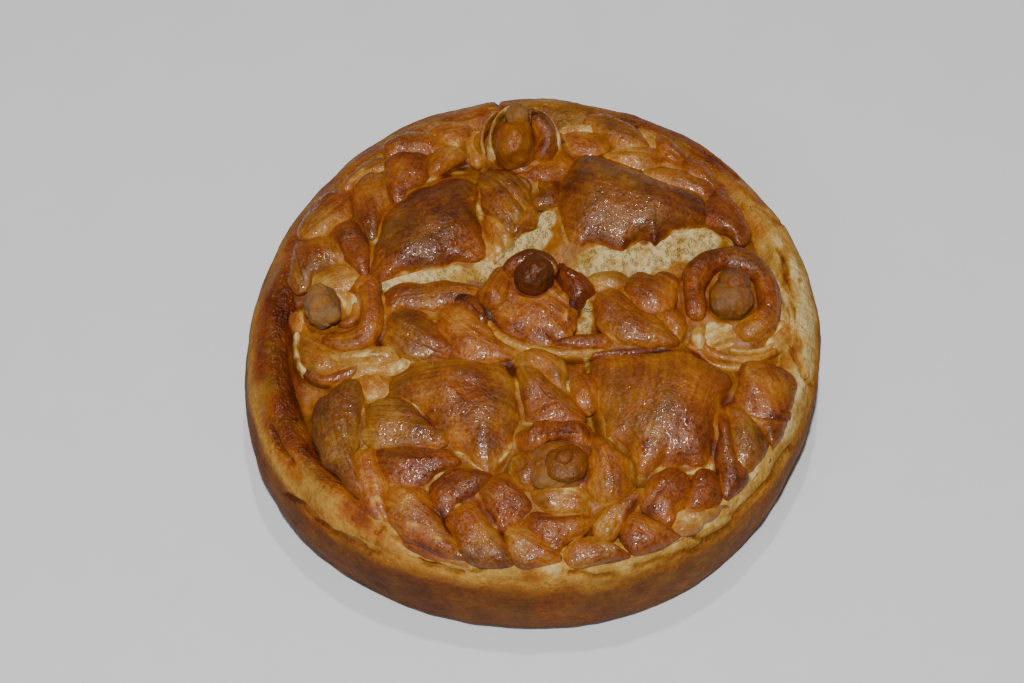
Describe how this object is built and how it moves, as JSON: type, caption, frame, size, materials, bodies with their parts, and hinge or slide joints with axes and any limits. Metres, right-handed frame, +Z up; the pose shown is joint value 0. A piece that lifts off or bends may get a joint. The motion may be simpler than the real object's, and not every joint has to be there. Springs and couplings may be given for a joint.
{
  "type": "round plaited festive loaf",
  "caption": "Round tin-baked festive loaf with a plaited ring, a plaited cross, and rosettes topped with dough buttons.",
  "frame": {"origin": "middle of the underside", "axes": "+Z up; X and Y along the arms of the plaited cross; the side nearest the picture's viewer faces -Y"},
  "size_m": [0.2367, 0.2427, 0.067],
  "materials": {
    "crust": "baked dough, matt brown side, cream where it tore",
    "washed_crust": "egg-washed crust, golden to deep brown, glossy",
    "button_crust": "grey-brown matt dough"
  },
  "bodies": {
    "root": {"loaf": "crust", "ring_plait_north_west": "washed_crust", "ring_plait_north_east": "washed_crust", "ring_plait_south": "washed_crust", "cross_plait_west": "washed_crust", "cross_plait_east": "washed_crust", "cross_plait_north": "washed_crust", "cross_plait_south": "washed_crust", "rosette_west": "washed_crust", "rosette_centre": "washed_crust", "rosette_east": "washed_crust", "rosette_north": "washed_crust", "rosette_south": "washed_crust", "button_west": "button_crust", "button_centre": "button_crust", "button_east": "button_crust", "button_north": "button_crust", "button_south": "button_crust"}
  },
  "joints": []
}
